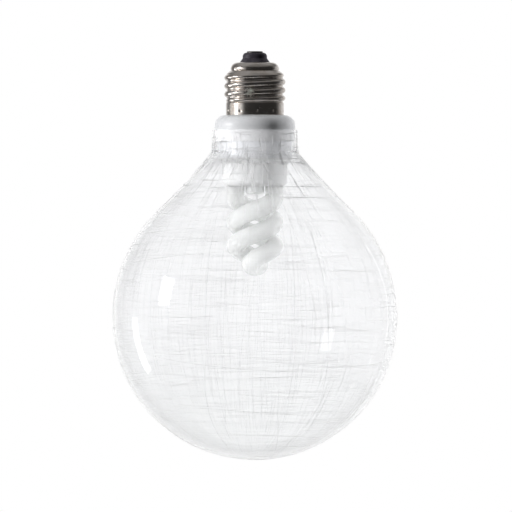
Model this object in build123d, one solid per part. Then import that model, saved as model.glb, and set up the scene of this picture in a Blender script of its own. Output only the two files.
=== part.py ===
from build123d import *
import os
from math import atan, atan2, cos, degrees, hypot, pi, radians, sin, sqrt, tan

# A globe lamp that hangs from its E27 screw cap. All sizes are in millimetres.
# Z = 0 is the flat end of the centre contact, Z is the lamp's axis, and the lamp hangs below it.

# Centre contact and the insulator that carries it
contact_diameter = 7.0
contact_height = 0.6
contact_edge_round = 0.4
contact_pin_diameter = 2.2
insulator_height = 4.7
insulator_top_diameter = 10.7
insulator_top_round = 1.7
insulator_side_height = 0.8
insulator_foot_diameter = 13.9
insulator_plug_height = 2.6

# Screw shell, rolled from thin sheet to the E27 form
cap_length = 28.0
shell_wall = 0.4
lip_diameter = 14.6
bead_diameter = 20.5
bead_round = 2.6
groove_diameter = 20.0
groove_height = 0.6
groove_flare_height = 1.5
thread_diameter = 26.1
thread_root_diameter = 24.0
thread_pitch = 3.629
thread_crest_round = 1.0
thread_flank_angle = 31.0
thread_sink = 0.25
thread_run_out = 1.7
skirt_diameter = 24.6
skirt_length = 5.5
crimp_count = 10
crimp_round = 0.8
crimp_depth = 0.22
crimp_height = 1.8
crimp_first_angle = -85.0

# Base housing: the stem inside the shell, the collar that shows and the body in the glass neck
stem_diameter = 22.8
stem_wall = 1.5
stem_headroom = 0.6
lead_notch_width = 1.7
lead_notch_depth = 3.0
body_diameter = 32.8
collar_overhang = 1.4
collar_diameter = body_diameter + 2 * collar_overhang
collar_height = 6.5
collar_round = 4.8
body_wall = 1.4
body_length = 12.5
housing_ceiling = 1.6
ceiling_round = 2.0
rib_count = 4
rib_width = 1.2
rib_depth = 1.3

# Blown glass globe with its neck, slightly hollow shoulder and round body
overall_length = 179.2
globe_diameter = 125.0
shoulder_arc_radius = 66.0
shoulder_angle = 47.0
shoulder_hollow_radius = 238.0
neck_wall = 1.5
cement_thickness = 0.95
neck_diameter = body_diameter + 2 * (cement_thickness + neck_wall)
neck_fillet = 1.6
rim_round = 0.4
glass_wall = 0.9
cement_depth = 5.0

# Tube holder, the cup that closes the housing and carries the spiral tube
holder_diameter = 28.8
holder_length = 12.5
holder_wall = 1.3
holder_floor = 1.5
holder_round = 3.0
holder_flange_height = 1.0
holder_taper_height = 1.4
plug_length = 3.5
plug_wall = 1.2
boss_length = 3.6
boss_round = 1.6

# Spiral tube: two strands, each a leg, a bend, a helix and half of the bridge
tube_diameter = 7.9
spiral_radius = 8.5
spiral_pitch = 20.5
spiral_turns = 1.087
spiral_start_angle = -60.0
leg_bend_radius = 6.6
leg_exit_gap = 0.8
leg_reach = 5.5
bridge_drop = 5.7
bridge_reach = 6.0
bridge_heading = 50.0
tube_cement_depth = 2.2
electrode_lead_diameter = 0.5
electrode_lead_spread = 1.5
electrode_lead_overlap = 4.0
pin_width = 0.9
pin_length = 5.0

# Ballast board and the parts that stand on it, placed in plan by (x, y)
board_thickness = 1.6
lead_diameter = 0.6
lead_stub = 1.0
choke_place = (-6.2, 0.0)
choke_width = 9.0
choke_window = 6.6
choke_depth = 3.2
choke_height = 8.4
choke_yoke = 1.5
choke_leg_width = 2.4
bobbin_length = 8.2
bobbin_plate = 0.7
bobbin_hub_wall = 0.5
drive_ring_place = (3.7, -6.4)
drive_ring_outer = 6.8
drive_ring_inner = 3.8
drive_ring_height = 3.0
drive_wire = 0.45
drive_turn_angles = (0, 18, 36, 120, 138, 156, 240, 258, 276)
smoothing_place = (4.4, 2.6)
smoothing_diameter = 8.0
smoothing_height = 17.0
smoothing_lead_pitch = 3.5
smoothing_edge_round = 0.6
smoothing_roll_height = 2.4
smoothing_roll_radius = 0.45
film_width = 6.6
film_depth = 3.0
film_height = 6.5
film_lead_pitch = 5.0
film_round = 0.75
resonant_place = (-3.6, 8.0)
blocking_place = (-4.2, -8.0)
transistor_places = ((11.1, 2.5), (11.1, -2.5))
transistor_diameter = 4.4
transistor_flat = 1.2
transistor_height = 4.8
transistor_stand_off = 2.0
transistor_lead_pitch = 1.27
transistor_lead_diameter = 0.45
diode_angles = (33, 50, 67, 84)
diode_circle = 11.6
diode_foot_circle = 9.8
diode_diameter = 2.4
diode_length = 4.6
resistor_angles = ((-38, -52), (141, 155), (219, 205))
resistor_circle = 11.0
resistor_diameter = 2.0
resistor_length = 5.0
trigger_angles = (100, 112)
trigger_circle = 11.2
trigger_diameter = 1.7
trigger_length = 3.4
axial_stand_off = 0.5
axial_loop_height = 1.2
fuse_place = (0.3, -1.6)
fuse_diameter = 2.5
fuse_length = 7.0
fuse_round = 0.5
fuse_stand_off = 4.0
lead_wire_diameter = 1.3
lead_bend_radius = 2.0
neutral_place = (-3.4, 5.6)

# Clearances
fit_gap = 0.05
slip_gap = 0.1
leg_gap = 0.4
hole_gap = 0.1
board_gap = 0.3

# Heights that the pieces share
lip_z = -(contact_height + insulator_height)
bead_end_z = lip_z - bead_round
groove_z = bead_end_z - groove_height
root_top_z = groove_z - groove_flare_height
shell_end_z = -cap_length
skirt_top_z = shell_end_z + skirt_length
plug_end_z = bead_end_z - insulator_plug_height + bead_round - shell_wall
stem_top_z = root_top_z - stem_headroom
collar_end_z = shell_end_z - collar_height
body_end_z = collar_end_z - body_length
board_low_z = body_end_z + plug_length
board_top_z = board_low_z + board_thickness
holder_end_z = body_end_z - holder_length
holder_floor_z = holder_end_z + holder_floor
globe_end_z = -overall_length
equator_z = globe_end_z + globe_diameter / 2
leg_top_z = holder_end_z + leg_reach

# Radii that the pieces share
root_radius = thread_root_diameter / 2
crest_radius = thread_diameter / 2
skirt_radius = skirt_diameter / 2
stem_radius = stem_diameter / 2
body_radius = body_diameter / 2
body_bore = body_radius - body_wall
board_radius = body_bore - board_gap
glass_neck_bore = neck_diameter / 2 - neck_wall
cup_bore = holder_diameter / 2 - holder_wall
tube_radius = tube_diameter / 2
lead_radius = lead_diameter / 2

# Blocks and bars are drawn upwards from the middle of their foot
stand = (Align.CENTER, Align.CENTER, Align.MIN)

# Plan places of every lead that passes through the board, with the radius of its hole
drilled = []


def turned(*outline):
    """Turn a closed outline, drawn as (radius, height), about the lamp's axis."""
    return revolve(Plane.XZ * make_face(outline), Axis.Z)


def upright(radius, place, low, high):
    """A round bar that stands at a plan place between two heights."""
    return Pos(*place, low) * Cylinder(radius, high - low, align=stand)


def block(width, depth, place, low, high):
    """A rectangular bar that stands at a plan place between two heights."""
    return Pos(*place, low) * Box(width, depth, high - low, align=stand)


def polar(radius, angle):
    return (radius * cos(radians(angle)), radius * sin(radians(angle)))


def wire_along(points, radius, bend):
    """A round wire along straight runs joined by tangent arcs."""
    path = FilletPolyline(*points, radius=bend)
    return sweep(Plane(path @ 0, z_dir=path % 0) * Circle(radius), path)


def board_lead(place, top, radius=lead_radius):
    """A lead from a part down through the board; its place is kept for drilling."""
    drilled.append((place, radius + hole_gap))
    return upright(radius, place, board_low_z - lead_stub, top)


def make_centre_contact():
    """Plated button with a pin that is pressed into the insulator."""
    head = upright(contact_diameter / 2, (0, 0), -contact_height, 0)
    head = fillet(head.edges().group_by(Axis.Z)[-1], contact_edge_round)
    pin = upright(contact_pin_diameter / 2, (0, 0), plug_end_z, -contact_height)
    return head + pin


def make_cap_insulator():
    """Black moulded plug: a domed cone above the shell's lip and a disc held under its bead."""
    top = insulator_top_diameter / 2
    foot = insulator_foot_diameter / 2
    waist = lip_diameter / 2 - slip_gap
    disc_top_z = lip_z - shell_wall - fit_gap
    disc_round = bead_round - shell_wall - fit_gap
    disc_radius = bead_diameter / 2 - shell_wall - fit_gap
    bore = contact_pin_diameter / 2 + fit_gap
    dome_start = (top - insulator_top_round, -contact_height)
    dome_end = (top, -contact_height - insulator_top_round)
    flat = Line((bore, -contact_height), dome_start)
    dome = RadiusArc(dome_start, dome_end, insulator_top_round)
    cone = Polyline(
        dome_end,
        (top, dome_end[1] - insulator_side_height),
        (foot, lip_z),
        (waist, lip_z),
        (waist, disc_top_z),
        (disc_radius - disc_round, disc_top_z),
    )
    disc_side_z = disc_top_z - disc_round
    under_bead = RadiusArc((disc_radius - disc_round, disc_top_z), (disc_radius, disc_side_z), disc_round)
    lower_radius = groove_diameter / 2 - shell_wall - fit_gap
    plug = Polyline(
        (disc_radius, disc_side_z),
        (lower_radius, disc_side_z),
        (lower_radius, plug_end_z),
        (bore, plug_end_z),
        (bore, -contact_height),
    )
    return turned(flat, dome, cone, under_bead, plug)


def make_thread_ridge():
    """Right-hand rounded thread ridge, run out to nothing at both ends."""
    point_height = thread_crest_round * (1 / sin(radians(thread_flank_angle)) - 1)
    base = root_radius - thread_sink
    tall = crest_radius + point_height
    half_width = (tall - base) * tan(radians(thread_flank_angle))
    section = make_face(Polyline((base, -half_width), (tall, 0), (base, half_width), close=True))
    section = fillet(section.vertices().sort_by(Axis.X)[-1], thread_crest_round)
    start_z = skirt_top_z - thread_pitch / 2
    helix = Helix(thread_pitch, root_top_z + thread_pitch / 2 - start_z, base, center=(0, 0, start_z))
    ridge = sweep(Pos(0, 0, start_z) * (Plane.XZ * section), helix, is_frenet=True)
    reach = turned(
        Polyline(
            (base - thread_sink, root_top_z),
            (root_radius, root_top_z),
            (tall, root_top_z - thread_run_out),
            (tall, skirt_top_z + thread_run_out),
            (root_radius, skirt_top_z),
            (base - thread_sink, skirt_top_z),
            close=True,
        )
    )
    return ridge & reach


def make_screw_shell():
    """Thin plated sleeve: lip, rounded bead, groove, rolled thread and crimped skirt."""
    bead = bead_diameter / 2
    groove = groove_diameter / 2
    outside_bead = RadiusArc((bead - bead_round, lip_z), (bead, bead_end_z), bead_round)
    outside = Polyline(
        (bead, bead_end_z),
        (groove, groove_z),
        (root_radius, root_top_z),
        (root_radius, skirt_top_z),
        (skirt_radius, skirt_top_z - (skirt_radius - root_radius)),
        (skirt_radius, shell_end_z),
        (skirt_radius - shell_wall, shell_end_z),
        (skirt_radius - shell_wall, skirt_top_z - (skirt_radius - root_radius)),
        (root_radius - shell_wall, skirt_top_z),
        (root_radius - shell_wall, root_top_z),
        (groove - shell_wall, groove_z),
        (bead - shell_wall, bead_end_z),
    )
    inside_bead = RadiusArc(
        (bead - shell_wall, bead_end_z), (bead - bead_round, lip_z - shell_wall), -(bead_round - shell_wall)
    )
    lip = Polyline(
        (bead - bead_round, lip_z - shell_wall),
        (lip_diameter / 2, lip_z - shell_wall),
        (lip_diameter / 2, lip_z),
        (bead - bead_round, lip_z),
    )
    shell = turned(outside_bead, outside, inside_bead, lip) + make_thread_ridge()
    dent = Sphere(crimp_round)
    dent_circle = skirt_radius + crimp_round - crimp_depth
    for index in range(crimp_count):
        place = polar(dent_circle, crimp_first_angle + 360 / crimp_count * index)
        shell -= Pos(*place, shell_end_z + crimp_height) * dent
    return shell


def make_base_housing():
    """White moulding: hollow stem, round-shouldered collar and the body with its board ribs."""
    collar = collar_diameter / 2
    stem_bore = stem_radius - stem_wall
    land = skirt_radius - shell_wall - slip_gap
    ceiling_z = shell_end_z - housing_ceiling
    top = Polyline(
        (stem_bore, stem_top_z),
        (stem_radius, stem_top_z),
        (stem_radius, skirt_top_z - (skirt_radius - root_radius)),
        (land, skirt_top_z - 2 * (skirt_radius - root_radius)),
        (land, shell_end_z),
        (collar - collar_round, shell_end_z),
    )
    shoulder_end = (collar, shell_end_z - collar_round)
    shoulder = RadiusArc((collar - collar_round, shell_end_z), shoulder_end, collar_round)
    body = Polyline(
        shoulder_end,
        (collar, collar_end_z),
        (body_radius, collar_end_z),
        (body_radius, body_end_z),
        (body_bore, body_end_z),
        (body_bore, ceiling_z - ceiling_round),
    )
    cove_start = (body_bore, ceiling_z - ceiling_round)
    cove = RadiusArc(cove_start, (body_bore - ceiling_round, ceiling_z), -ceiling_round)
    bore = Polyline((body_bore - ceiling_round, ceiling_z), (stem_bore, ceiling_z), (stem_bore, stem_top_z))
    housing = turned(top, shoulder, body, cove, bore)
    rib_root = body_bore + body_wall / 2
    rib_span = rib_depth + body_wall / 2
    rib_place = (rib_root - rib_span / 2, 0)
    for index in range(rib_count):
        rib = block(rib_span, rib_width, rib_place, board_top_z, ceiling_z - ceiling_round)
        housing += Rot(0, 0, 360 / rib_count * index) * rib
    notch_angle = degrees(atan2(neutral_place[1], neutral_place[0]))
    notch_place = (stem_radius - stem_wall / 2, 0)
    notch = block(2 * stem_wall, lead_notch_width, notch_place, stem_top_z - lead_notch_depth, stem_top_z)
    return housing - Rot(0, 0, notch_angle) * notch


def make_neck_cement():
    """Ring of setting cement between the housing body and the glass neck, up against the collar."""
    inner = body_radius + fit_gap
    outer = glass_neck_bore - fit_gap
    low = collar_end_z - cement_depth
    return turned(
        Polyline((inner, low), (outer, low), (outer, collar_end_z), (inner, collar_end_z), close=True)
    )


def globe_outline(wall, neck_radius):
    """Points of the globe's upper outline, set in by a wall: the hollow shoulder and the arc below it."""
    centre_r = globe_diameter / 2 - shoulder_arc_radius
    arc = shoulder_arc_radius - wall
    hollow = shoulder_hollow_radius + wall
    slope = radians(shoulder_angle)
    hollow_r = centre_r + (shoulder_arc_radius + shoulder_hollow_radius) * cos(slope)
    hollow_z = equator_z + (shoulder_arc_radius + shoulder_hollow_radius) * sin(slope)
    shoulder_end = (centre_r + arc * cos(slope), equator_z + arc * sin(slope))
    corner = (neck_radius, hollow_z - sqrt(hollow**2 - (hollow_r - neck_radius) ** 2))
    middle_r = (shoulder_end[0] + neck_radius) / 2
    hollow_middle = (middle_r, hollow_z - sqrt(hollow**2 - (hollow_r - middle_r) ** 2))
    half_way = slope / 2
    arc_middle = (centre_r + arc * cos(half_way), equator_z + arc * sin(half_way))
    equator = (globe_diameter / 2 - wall, equator_z)
    return corner, hollow_middle, shoulder_end, arc_middle, equator


def make_glass_globe():
    """One blown wall: fire-polished rim, neck, hollow shoulder, flatter upper arc and round bottom."""
    outer_neck = neck_diameter / 2
    outer_corner, outer_hollow, outer_end, outer_middle, outer_equator = globe_outline(0, outer_neck)
    inner_corner, inner_hollow, inner_end, inner_middle, inner_equator = globe_outline(
        glass_wall, glass_neck_bore
    )
    outer_radius = globe_diameter / 2
    inner_radius = outer_radius - glass_wall
    section = make_face(
        [
            Line((outer_neck, collar_end_z), outer_corner),
            ThreePointArc(outer_corner, outer_hollow, outer_end),
            ThreePointArc(outer_end, outer_middle, outer_equator),
            RadiusArc(outer_equator, (0, equator_z - outer_radius), outer_radius),
            Line((0, equator_z - outer_radius), (0, equator_z - inner_radius)),
            RadiusArc((0, equator_z - inner_radius), inner_equator, -inner_radius),
            ThreePointArc(inner_equator, inner_middle, inner_end),
            ThreePointArc(inner_end, inner_hollow, inner_corner),
            Polyline(inner_corner, (glass_neck_bore, collar_end_z), (outer_neck, collar_end_z)),
        ]
    )
    corners = section.vertices().sort_by(Axis.Y)
    section = fillet(corners[-2:], rim_round)
    bends = [
        min(section.vertices(), key=lambda point: (point.X - corner[0]) ** 2 + (point.Y - corner[1]) ** 2)
        for corner in (outer_corner, inner_corner)
    ]
    section = fillet(bends, neck_fillet)
    return revolve(Plane.XZ * section, Axis.Z)


def make_tube_holder():
    """White cup that plugs into the housing, with a centre boss and two holes for the tube's legs."""
    cup = holder_diameter / 2
    boss = spiral_radius - tube_radius - leg_gap
    boss_end_z = holder_end_z - boss_length
    plug = body_bore - slip_gap
    flange_low_z = body_end_z - holder_flange_height
    taper_low_z = flange_low_z - holder_taper_height
    outside = Polyline(
        (plug - plug_wall, board_low_z),
        (plug, board_low_z),
        (plug, body_end_z),
        (body_radius, body_end_z),
        (body_radius, flange_low_z),
        (cup, taper_low_z),
        (cup, holder_end_z + holder_round),
    )
    edge = RadiusArc((cup, holder_end_z + holder_round), (cup - holder_round, holder_end_z), holder_round)
    underside = Polyline(
        (cup - holder_round, holder_end_z), (boss, holder_end_z), (boss, boss_end_z + boss_round)
    )
    boss_edge = RadiusArc((boss, boss_end_z + boss_round), (boss - boss_round, boss_end_z), boss_round)
    inside = Polyline(
        (boss - boss_round, boss_end_z),
        (0, boss_end_z),
        (0, holder_floor_z),
        (cup_bore, holder_floor_z),
        (cup_bore, taper_low_z),
        (plug - plug_wall, flange_low_z),
        (plug - plug_wall, board_low_z),
    )
    holder = turned(outside, edge, underside, boss_edge, inside)
    for place in leg_places():
        holder -= upright(tube_radius + slip_gap, place, holder_end_z, holder_floor_z)
    return holder


def spiral_slope():
    """Angle at which a strand climbs, in radians."""
    return atan(spiral_pitch / (2 * pi * spiral_radius))


def bend_sizes():
    """Turn about the axis, in degrees, and rise of the bend from the helix into the upright leg."""
    slope = spiral_slope()
    turn = degrees(leg_bend_radius * (1 - sin(slope)) / spiral_radius)
    return turn, leg_bend_radius * cos(slope)


def leg_places():
    turn, _ = bend_sizes()
    angle = spiral_start_angle + 360 * spiral_turns + turn
    return polar(spiral_radius, angle), polar(spiral_radius, angle + 180)


def make_spiral_tube():
    """Coated glass tube bent into a right-hand double helix, with a bridge across the axis at its tip."""
    slope = spiral_slope()
    turn, rise = bend_sizes()
    helix_height = spiral_turns * spiral_pitch
    bend_top_z = holder_end_z - leg_exit_gap
    helix_top_z = bend_top_z - rise
    helix_low_z = helix_top_z - helix_height
    tip_z = helix_low_z - bridge_drop

    helix = Helix(spiral_pitch, helix_height, spiral_radius, center=(0, 0, helix_low_z))
    helix = Rot(0, 0, spiral_start_angle) * helix
    tip = Vector(0, 0, tip_z)
    across = Vector(*polar(1, bridge_heading), 0)
    start_angle = radians(spiral_start_angle)
    start = Vector(*polar(spiral_radius, spiral_start_angle), helix_low_z)
    back_down = Vector(sin(start_angle) * cos(slope), -cos(start_angle) * cos(slope), -sin(slope))
    bridge = Bezier(tip, tip - across * bridge_reach, start + back_down * bridge_reach, start)

    end_angle = start_angle + radians(360 * spiral_turns)
    climb = Vector(-sin(end_angle) * cos(slope), cos(end_angle) * cos(slope), sin(slope))
    bend_start = Vector(*polar(spiral_radius, degrees(end_angle)), helix_top_z)
    leg_x, leg_y = leg_places()[0]
    bend_end = Vector(leg_x, leg_y, bend_top_z)
    handle = leg_bend_radius * 4 / 3 * tan((pi / 2 - slope) / 4)
    bend = Bezier(bend_start, bend_start + climb * handle, bend_end - Vector(0, 0, handle), bend_end)
    leg = Line(bend_end, Vector(leg_x, leg_y, leg_top_z))

    path = Wire([bridge, helix, bend, leg])
    strand = sweep(Plane(tip, z_dir=across) * Circle(tube_radius), path)
    return strand + Rot(0, 0, 180) * strand


def make_tube_cement():
    """Cement poured on the cup's floor round both legs."""
    pour = upright(cup_bore - fit_gap, (0, 0), holder_floor_z, holder_floor_z + tube_cement_depth)
    for place in leg_places():
        pour -= upright(tube_radius + fit_gap, place, holder_floor_z, holder_floor_z + tube_cement_depth)
    return pour


def electrode_places():
    """Plan places where two leads leave the end of each leg, side by side across the radius."""
    places = []
    for x, y in leg_places():
        side = (-y / spiral_radius, x / spiral_radius)
        for sign in (-1, 1):
            reach = sign * electrode_lead_spread
            places.append((x + side[0] * reach, y + side[1] * reach))
    return places


def make_electrode_leads():
    """Four bare wires from the tube's ends up beside the board's pins."""
    top = board_low_z - pin_length + electrode_lead_overlap
    return [upright(electrode_lead_diameter / 2, place, leg_top_z, top) for place in electrode_places()]


def make_wrap_pins():
    """Four square pins pressed through the board, one beside each electrode lead."""
    offset = (pin_width + electrode_lead_diameter) / 2 + fit_gap
    pins = []
    for x, y in electrode_places():
        side = 1 if y > 0 else -1
        place = (x, y + side * offset)
        drilled.append((place, pin_width / sqrt(2) + hole_gap))
        pins.append(block(pin_width, pin_width, place, board_low_z - pin_length, board_top_z))
    return pins


def make_choke_bobbin():
    """Moulded spool on a foot plate, with a pin at each corner."""
    x, y = choke_place
    foot_top_z = board_top_z + bobbin_plate
    hub_low_z = foot_top_z + choke_yoke + fit_gap
    hub_high_z = foot_top_z + choke_height - choke_yoke - fit_gap
    bore_width = choke_leg_width + 2 * fit_gap
    bore_depth = choke_depth + 2 * fit_gap
    hub_width = bore_width + 2 * bobbin_hub_wall
    hub_depth = bore_depth + 2 * bobbin_hub_wall
    plate_width = choke_window - 2 * fit_gap
    bobbin = block(choke_width, bobbin_length, choke_place, board_top_z, foot_top_z)
    post_inner = choke_depth / 2 + fit_gap
    post_depth = bobbin_length / 2 - post_inner
    for side in (-1, 1):
        place = (x, y + side * (post_inner + post_depth / 2))
        bobbin += block(plate_width, post_depth, place, foot_top_z, hub_low_z)
    for low in (hub_low_z, hub_high_z - bobbin_plate):
        bobbin += block(plate_width, bobbin_length, choke_place, low, low + bobbin_plate)
    bobbin += block(hub_width, hub_depth, choke_place, hub_low_z, hub_high_z)
    bobbin -= block(bore_width, bore_depth, choke_place, hub_low_z, hub_high_z)
    corner_x = choke_width / 2 - lead_diameter
    corner_y = bobbin_length / 2 - lead_diameter
    for side_x in (-1, 1):
        for side_y in (-1, 1):
            bobbin += board_lead((x + side_x * corner_x, y + side_y * corner_y), board_top_z)
    return bobbin


def make_choke_core():
    """Two ferrite halves, each an E, that meet at half height inside the spool."""
    x, y = choke_place
    low = board_top_z + bobbin_plate
    high = low + choke_height
    middle = (low + high) / 2
    side_width = (choke_width - choke_window) / 2
    side_x = (choke_window + side_width) / 2
    halves = []
    for yoke_low, leg_low, leg_high in ((low, low, middle), (high - choke_yoke, middle, high)):
        half = block(choke_width, choke_depth, choke_place, yoke_low, yoke_low + choke_yoke)
        half += block(choke_leg_width, choke_depth, choke_place, leg_low, leg_high)
        for side in (-1, 1):
            half += block(side_width, choke_depth, (x + side * side_x, y), leg_low, leg_high)
        halves.append(half)
    return halves


def make_choke_winding():
    """Copper winding, one closed coil between the spool's plates."""
    foot_top_z = board_top_z + bobbin_plate
    low = foot_top_z + choke_yoke + bobbin_plate + 2 * fit_gap
    high = foot_top_z + choke_height - choke_yoke - bobbin_plate - 2 * fit_gap
    hub_width = choke_leg_width + 2 * (bobbin_hub_wall + 2 * fit_gap)
    hub_depth = choke_depth + 2 * (bobbin_hub_wall + 2 * fit_gap)
    coil_width = choke_window - 6 * fit_gap
    coil = block(coil_width, bobbin_length - 6 * fit_gap, choke_place, low, high)
    coil = fillet(coil.edges().filter_by(Axis.Z), (coil_width - hub_width) / 2)
    return coil - block(hub_width, hub_depth, choke_place, low, high)


def make_drive_ring_core():
    """Ferrite ring that lies over its windings on the board."""
    low = board_top_z + drive_wire + fit_gap
    ring = upright(drive_ring_outer / 2, drive_ring_place, low, low + drive_ring_height)
    return ring - upright(drive_ring_inner / 2, drive_ring_place, low, low + drive_ring_height)


def make_drive_ring_windings():
    """Three windings of a few turns, each turn a square loop round the ring's section."""
    inner = drive_ring_inner / 2 - fit_gap
    outer = drive_ring_outer / 2 + fit_gap
    middle = (inner + outer) / 2
    span = outer - inner
    opening_low = board_top_z + drive_wire
    opening_high = opening_low + drive_ring_height + 2 * fit_gap
    loop = block(span + 2 * drive_wire, drive_wire, (middle, 0), board_top_z, opening_high + drive_wire)
    loop -= block(span, drive_wire, (middle, 0), opening_low, opening_high)
    return [Pos(*drive_ring_place, 0) * Rot(0, 0, angle) * loop for angle in drive_turn_angles]


def make_smoothing_capacitor():
    """Electrolytic can that stands up into the stem, with a rolled groove near its foot."""
    can = upright(smoothing_diameter / 2, smoothing_place, board_top_z, board_top_z + smoothing_height)
    can = fillet(can.edges(), smoothing_edge_round)
    x, y = smoothing_place
    roll = Torus(smoothing_diameter / 2, smoothing_roll_radius)
    can -= Pos(x, y, board_top_z + smoothing_roll_height) * roll
    for side in (-1, 1):
        can += board_lead((x + side * smoothing_lead_pitch / 2, y), board_top_z + smoothing_roll_height)
    return can


def make_film_capacitor(place):
    """Dipped film capacitor with two leads."""
    body = block(film_width, film_depth, place, board_top_z, board_top_z + film_height)
    body = fillet(body.edges(), film_round)
    for side in (-1, 1):
        body += board_lead((place[0] + side * film_lead_pitch / 2, place[1]), board_top_z + film_depth / 2)
    return body


def make_transistors():
    """Two small transistors on three leads each, flat side outwards."""
    low = board_top_z + transistor_stand_off
    pair = []
    for x, y in transistor_places:
        body = upright(transistor_diameter / 2, (x, y), low, low + transistor_height)
        cut_place = (x + transistor_flat + transistor_diameter / 2, y)
        body -= block(transistor_diameter, transistor_diameter, cut_place, low, low + transistor_height)
        for step in (-1, 0, 1):
            body += board_lead((x, y + step * transistor_lead_pitch), low, transistor_lead_diameter / 2)
        pair.append(body)
    return pair


def make_axial_part(place, foot, diameter, length):
    """Axial part stood on end: one lead below it and the other bent over and down to the board."""
    low = board_top_z + axial_stand_off
    high = low + length
    loop_z = high + axial_loop_height
    body = upright(diameter / 2, place, low, high) + board_lead(place, low)
    drilled.append((foot, lead_radius + hole_gap))
    route = [(*place, high), (*place, loop_z), (*foot, loop_z), (*foot, board_low_z - lead_stub)]
    return body + wire_along(route, lead_radius, lead_diameter)


def make_rectifier_diodes():
    diodes = []
    for angle in diode_angles:
        place = polar(diode_circle, angle)
        foot = polar(diode_foot_circle, angle)
        diodes.append(make_axial_part(place, foot, diode_diameter, diode_length))
    return diodes


def make_resistors():
    resistors = []
    for place_angle, foot_angle in resistor_angles:
        place = polar(resistor_circle, place_angle)
        foot = polar(resistor_circle, foot_angle)
        resistors.append(make_axial_part(place, foot, resistor_diameter, resistor_length))
    return resistors


def make_trigger_diode():
    place, foot = (polar(trigger_circle, angle) for angle in trigger_angles)
    return make_axial_part(place, foot, trigger_diameter, trigger_length)


def make_fuse_resistor():
    """Fusible resistor in line with the live lead, on its own long leg."""
    low = board_top_z + fuse_stand_off
    high = low + fuse_length
    body = upright(fuse_diameter / 2, fuse_place, low, high)
    body = fillet(body.edges(), fuse_round)
    top_lead = upright(lead_radius, fuse_place, high, high + lead_stub)
    return body + board_lead(fuse_place, low) + top_lead


def make_live_lead():
    """Insulated wire from the fusible resistor to the foot of the contact's pin."""
    low = board_top_z + fuse_stand_off + fuse_length + lead_stub
    high = plug_end_z
    third = (high - low) / 3
    points = [(*fuse_place, low), (*fuse_place, low + third), (0, 0, high - third), (0, 0, high)]
    return wire_along(points, lead_wire_diameter / 2, lead_bend_radius)


def make_neutral_lead():
    """Insulated wire from the board up the stem and out through its notch to the shell."""
    x, y = neutral_place
    radius = lead_wire_diameter / 2
    reach = root_radius - shell_wall - fit_gap
    scale = reach / hypot(x, y)
    drilled.append((neutral_place, radius + hole_gap))
    turn_z = stem_top_z - lead_notch_depth + radius + fit_gap
    points = [(x, y, board_low_z - lead_stub), (x, y, turn_z), (x * scale, y * scale, turn_z)]
    return wire_along(points, radius, lead_bend_radius)


def make_ballast_board():
    """Round board held between the housing's ribs and the holder's rim, drilled for every lead."""
    board = upright(board_radius, (0, 0), board_low_z, board_top_z)
    for place, radius in drilled:
        board -= upright(radius, place, board_low_z, board_top_z)
    return board


pieces = {
    "centre_contact": make_centre_contact(),
    "cap_insulator": make_cap_insulator(),
    "screw_shell": make_screw_shell(),
    "base_housing": make_base_housing(),
    "neck_cement": make_neck_cement(),
    "glass_globe": make_glass_globe(),
    "tube_holder": make_tube_holder(),
    "spiral_tube": make_spiral_tube(),
    "tube_cement": make_tube_cement(),
    "electrode_leads": make_electrode_leads(),
    "wrap_pins": make_wrap_pins(),
    "choke_bobbin": make_choke_bobbin(),
    "choke_core": make_choke_core(),
    "choke_winding": make_choke_winding(),
    "drive_ring_core": make_drive_ring_core(),
    "drive_ring_windings": make_drive_ring_windings(),
    "smoothing_capacitor": make_smoothing_capacitor(),
    "resonant_capacitor": make_film_capacitor(resonant_place),
    "blocking_capacitor": make_film_capacitor(blocking_place),
    "transistors": make_transistors(),
    "rectifier_diodes": make_rectifier_diodes(),
    "resistors": make_resistors(),
    "trigger_diode": make_trigger_diode(),
    "fuse_resistor": make_fuse_resistor(),
    "live_lead": make_live_lead(),
    "neutral_lead": make_neutral_lead(),
}
# The board comes last, because it is drilled where the parts above put their leads.
pieces["ballast_board"] = make_ballast_board()

os.makedirs("parts", exist_ok=True)
for name, shape in pieces.items():
    solids = Compound(children=shape) if isinstance(shape, list) else shape
    export_step(solids, f"parts/{name}.step")
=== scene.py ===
from math import acos, cos, degrees, pi, radians, sin, sqrt

import bpy
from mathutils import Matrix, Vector


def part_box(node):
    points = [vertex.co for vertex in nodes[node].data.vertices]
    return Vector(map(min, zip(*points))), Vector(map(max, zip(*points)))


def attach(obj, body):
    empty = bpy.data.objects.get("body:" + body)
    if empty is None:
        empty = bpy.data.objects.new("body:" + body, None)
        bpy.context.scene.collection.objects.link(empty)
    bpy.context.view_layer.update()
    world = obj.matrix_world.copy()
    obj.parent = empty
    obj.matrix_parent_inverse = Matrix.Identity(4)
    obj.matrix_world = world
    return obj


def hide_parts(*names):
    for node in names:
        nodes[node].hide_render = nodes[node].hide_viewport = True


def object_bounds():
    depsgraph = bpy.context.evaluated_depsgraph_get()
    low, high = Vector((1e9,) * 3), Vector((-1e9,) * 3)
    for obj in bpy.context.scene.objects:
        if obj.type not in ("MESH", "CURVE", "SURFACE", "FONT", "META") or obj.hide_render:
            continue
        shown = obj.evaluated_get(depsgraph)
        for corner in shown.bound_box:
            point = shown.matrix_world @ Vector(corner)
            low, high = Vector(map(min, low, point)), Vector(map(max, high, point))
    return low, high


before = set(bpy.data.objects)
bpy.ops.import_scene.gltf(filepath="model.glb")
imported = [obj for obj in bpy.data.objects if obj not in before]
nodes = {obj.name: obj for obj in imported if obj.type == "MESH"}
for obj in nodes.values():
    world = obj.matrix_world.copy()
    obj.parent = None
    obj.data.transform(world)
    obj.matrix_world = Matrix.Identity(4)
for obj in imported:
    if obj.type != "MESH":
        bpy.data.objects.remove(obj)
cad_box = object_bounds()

mm = 0.001


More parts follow.
